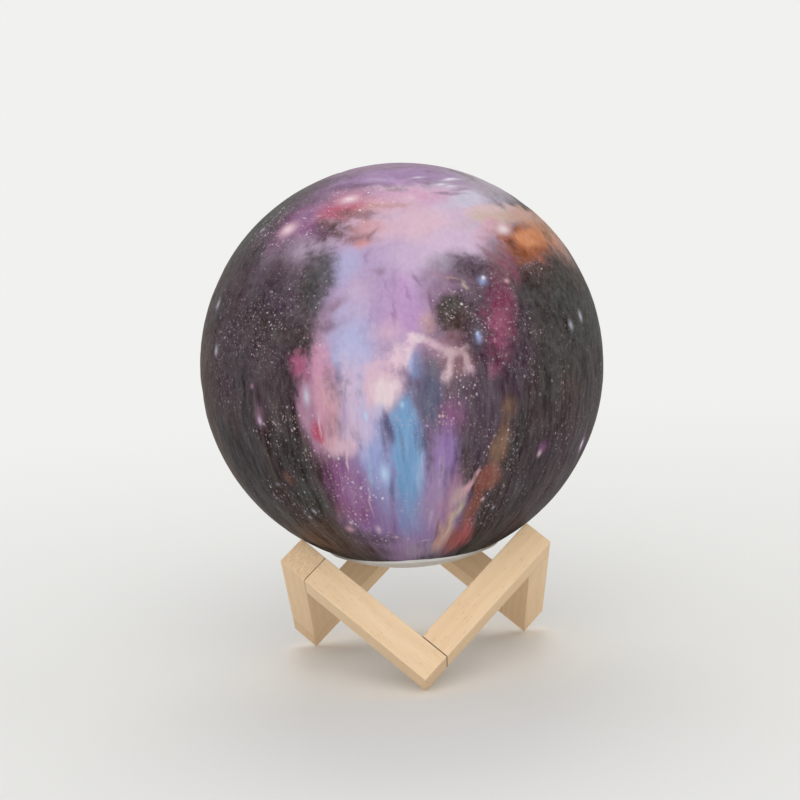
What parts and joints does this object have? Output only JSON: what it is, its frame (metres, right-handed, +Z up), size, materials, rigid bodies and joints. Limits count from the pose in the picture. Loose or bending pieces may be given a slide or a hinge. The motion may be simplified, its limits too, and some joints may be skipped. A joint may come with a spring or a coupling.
{
  "type": "moon lamp",
  "caption": "Rechargeable globe lamp with a printed starry-cloud shell, resting loose on a stand of square wooden sticks joined in a zigzag ring.",
  "frame": {"origin": "on the table plane, on the vertical axis through the globe's centre and the stand's middle", "axes": "+Z up along the lamp's axis; -Y towards the viewer and the stand's front foot; +X to the viewer's right"},
  "size_m": [0.15, 0.15, 0.1866],
  "materials": {
    "beech": "bare fine-sanded beech, pale, with fine grain and small flecks",
    "dowel_wood": "plain turned wood, hidden in the joints",
    "printed_globe": "satin layer-printed plastic with low relief, under a printed starry-cloud pattern of purple, magenta, blue and rust",
    "white_abs": "satin moulded white plastic",
    "grey_abs": "satin moulded grey plastic",
    "ivory_nylon": "moulded ivory plastic",
    "chip_black": "matt black moulded resin",
    "circuit_board": "green solder resist over glass-fibre board",
    "aluminium_board": "aluminium-core board with white solder resist",
    "cell_foil": "silvery laminated foil",
    "foam": "black adhesive foam",
    "lead_red": "soft red wire insulation",
    "lead_black": "soft black wire insulation",
    "plated_steel": "nickel-plated pressed steel",
    "clear_plastic": "clear moulded plastic",
    "led_body": "white chip body with yellow phosphor",
    "zinc_screw": "bright zinc-plated steel"
  },
  "bodies": {
    "stand": {"stick_front_left": "beech", "stick_left": "beech", "stick_back_left": "beech", "stick_back_right": "beech", "stick_right": "beech", "stick_front_right": "beech", "dowel_pins": "dowel_wood"},
    "lamp": {"globe_shell": "printed_globe", "neck_ring": "white_abs", "base_cap": "white_abs", "housing_lid": "white_abs", "control_board": "circuit_board", "board_chips": "chip_black", "battery_pad": "foam", "battery_cell": "cell_foil", "battery_connector": "ivory_nylon", "battery_lead_red": "lead_red", "battery_lead_black": "lead_black", "socket_shell": "plated_steel", "socket_tongue": "chip_black", "tact_switch": "chip_black", "light_pipe": "clear_plastic", "status_led": "led_body", "led_board": "aluminium_board", "led_chips": "led_body", "led_lead_red": "lead_red", "led_lead_black": "lead_black", "lid_screws": "zinc_screw", "board_screws": "zinc_screw", "led_board_screws": "zinc_screw"},
    "power_button": {"button_cap": "grey_abs", "switch_plunger": "ivory_nylon"}
  },
  "joints": [
    {"name": "globe_lift", "type": "slide", "parent": "stand", "child": "lamp", "axis": [0, 0, 1], "range_m": [0, 0.2]},
    {"name": "button_press", "type": "slide", "parent": "lamp", "child": "power_button", "axis": [0, 0, 1], "range_m": [0, 0.001], "stiffness_N_per_m": 800, "springref_m": -0.001}
  ]
}
